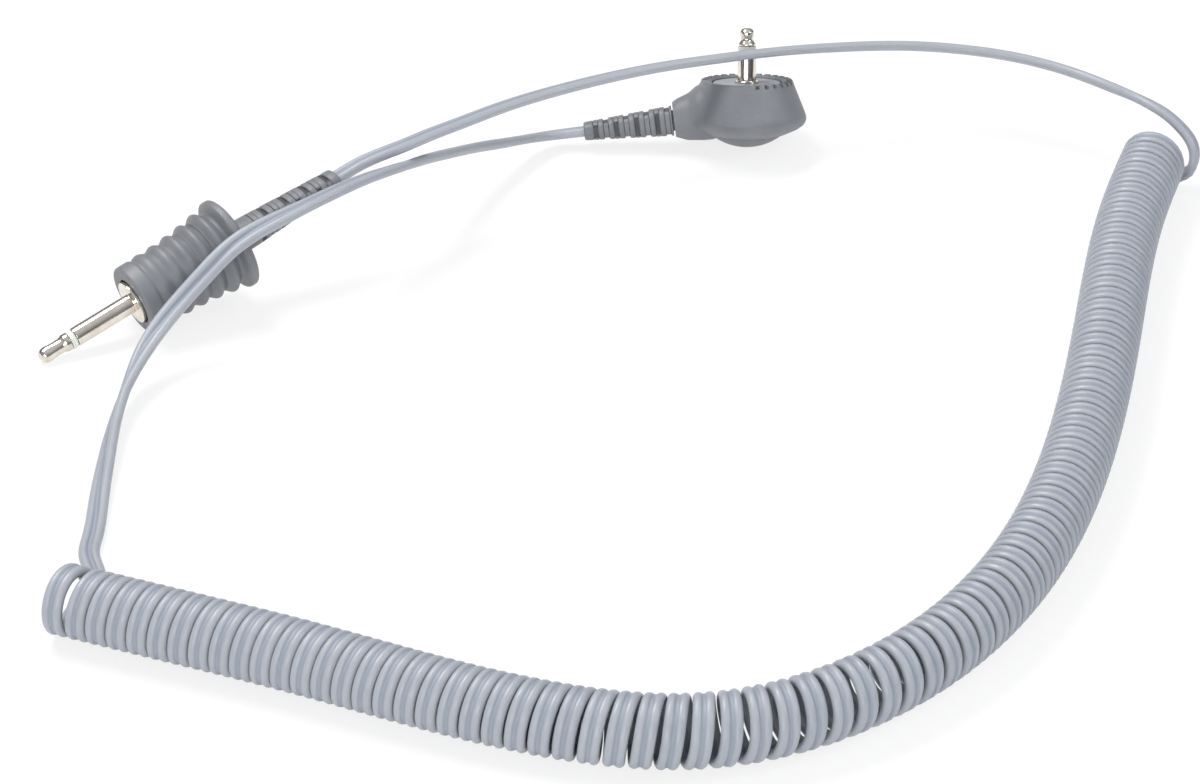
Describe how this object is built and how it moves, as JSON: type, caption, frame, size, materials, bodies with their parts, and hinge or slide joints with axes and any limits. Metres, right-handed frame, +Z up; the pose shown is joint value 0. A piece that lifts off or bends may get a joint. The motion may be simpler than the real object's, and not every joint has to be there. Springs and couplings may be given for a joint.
{
  "type": "wrist strap ground cord",
  "caption": "Coiled twin ground cord for an esd wrist strap, with a ribbed straight jack plug at one end and a round notched elbow plug with an upright pin at the other.",
  "frame": {"origin": "on the bench, below the middle of the box round the two plugs", "axes": "+X runs from the jack plug to the elbow plug, +Y away from the viewer, +Z up from the bench"},
  "size_m": [0.2091, 0.2133, 0.0219],
  "materials": {
    "cord": "satin polyurethane, twin conductor",
    "plug": "satin moulded grey",
    "plate": "satin moulded light grey",
    "nickel": "bright nickel plate",
    "insulator": "pale satin",
    "liner": "plain white",
    "lug": "tin plate over brass",
    "resistor": "blue lacquer",
    "wire_red": "smooth",
    "wire_black": "smooth"
  },
  "bodies": {
    "root": {"curly_cord": "cord", "jack_lead": "cord", "elbow_lead": "cord", "jack_tip": "nickel", "jack_insulator": "insulator", "jack_sleeve": "nickel", "jack_washer": "liner", "jack_tip_lug": "lug", "jack_sleeve_lug": "lug", "jack_core": "liner", "jack_grip": "plug", "jack_boot": "plug", "jack_tip_wire": "wire_red", "jack_sleeve_wire": "wire_black", "elbow_head": "plug", "elbow_floor_plate": "plate", "elbow_base_cap": "plug", "elbow_tip": "nickel", "elbow_insulator": "insulator", "elbow_sleeve": "nickel", "elbow_washer": "liner", "elbow_tip_lug": "lug", "elbow_sleeve_lug": "lug", "tip_resistor": "resistor", "sleeve_resistor": "resistor", "elbow_tip_wire": "wire_red", "elbow_sleeve_wire": "wire_black", "elbow_boot": "plug"}
  },
  "joints": []
}
